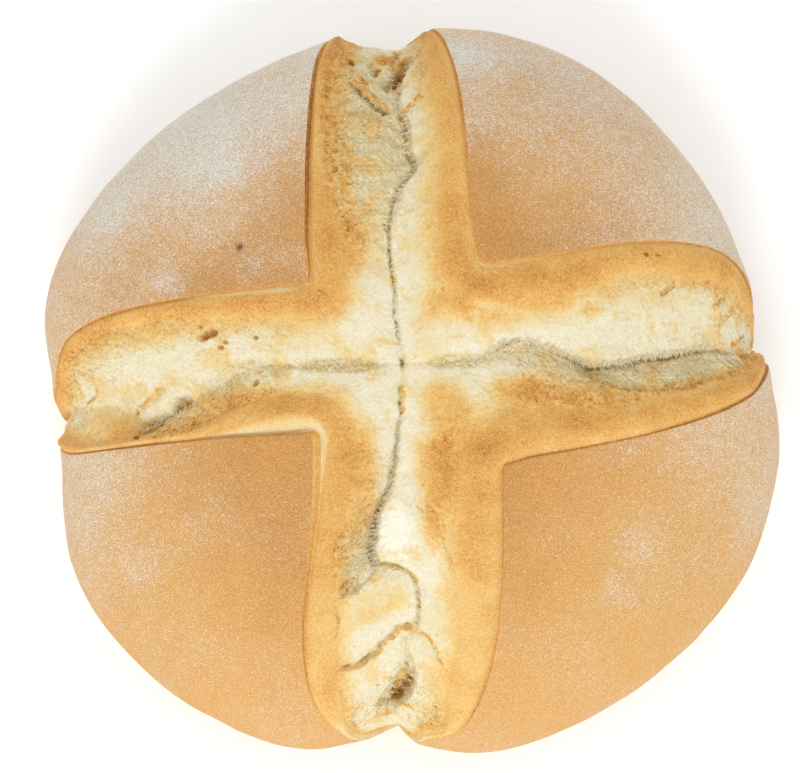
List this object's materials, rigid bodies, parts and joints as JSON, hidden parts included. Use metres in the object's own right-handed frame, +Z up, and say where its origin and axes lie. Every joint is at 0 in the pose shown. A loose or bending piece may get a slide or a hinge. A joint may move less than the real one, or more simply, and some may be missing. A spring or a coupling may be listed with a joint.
{
  "type": "cross-cut round loaf",
  "caption": "Crusty round white loaf, dusted with flour and cut with a deep cross that opened in baking into golden ridges and pale crumb; stands on its flat base.",
  "frame": {"origin": "middle of the loaf's box, on the surface that it rests on", "axes": "+Z up, square to the flat base; +X and +Y along the two cuts of the cross, +X towards the cut end whose ridges are widest"},
  "size_m": [0.1996, 0.1979, 0.0747],
  "materials": {
    "crust": "matt browned crust dusted with flour",
    "cut_face": "matt golden ridge of the opened cut, fading to cream crumb"
  },
  "bodies": {
    "root": {"loaf": "crust"}
  },
  "joints": []
}
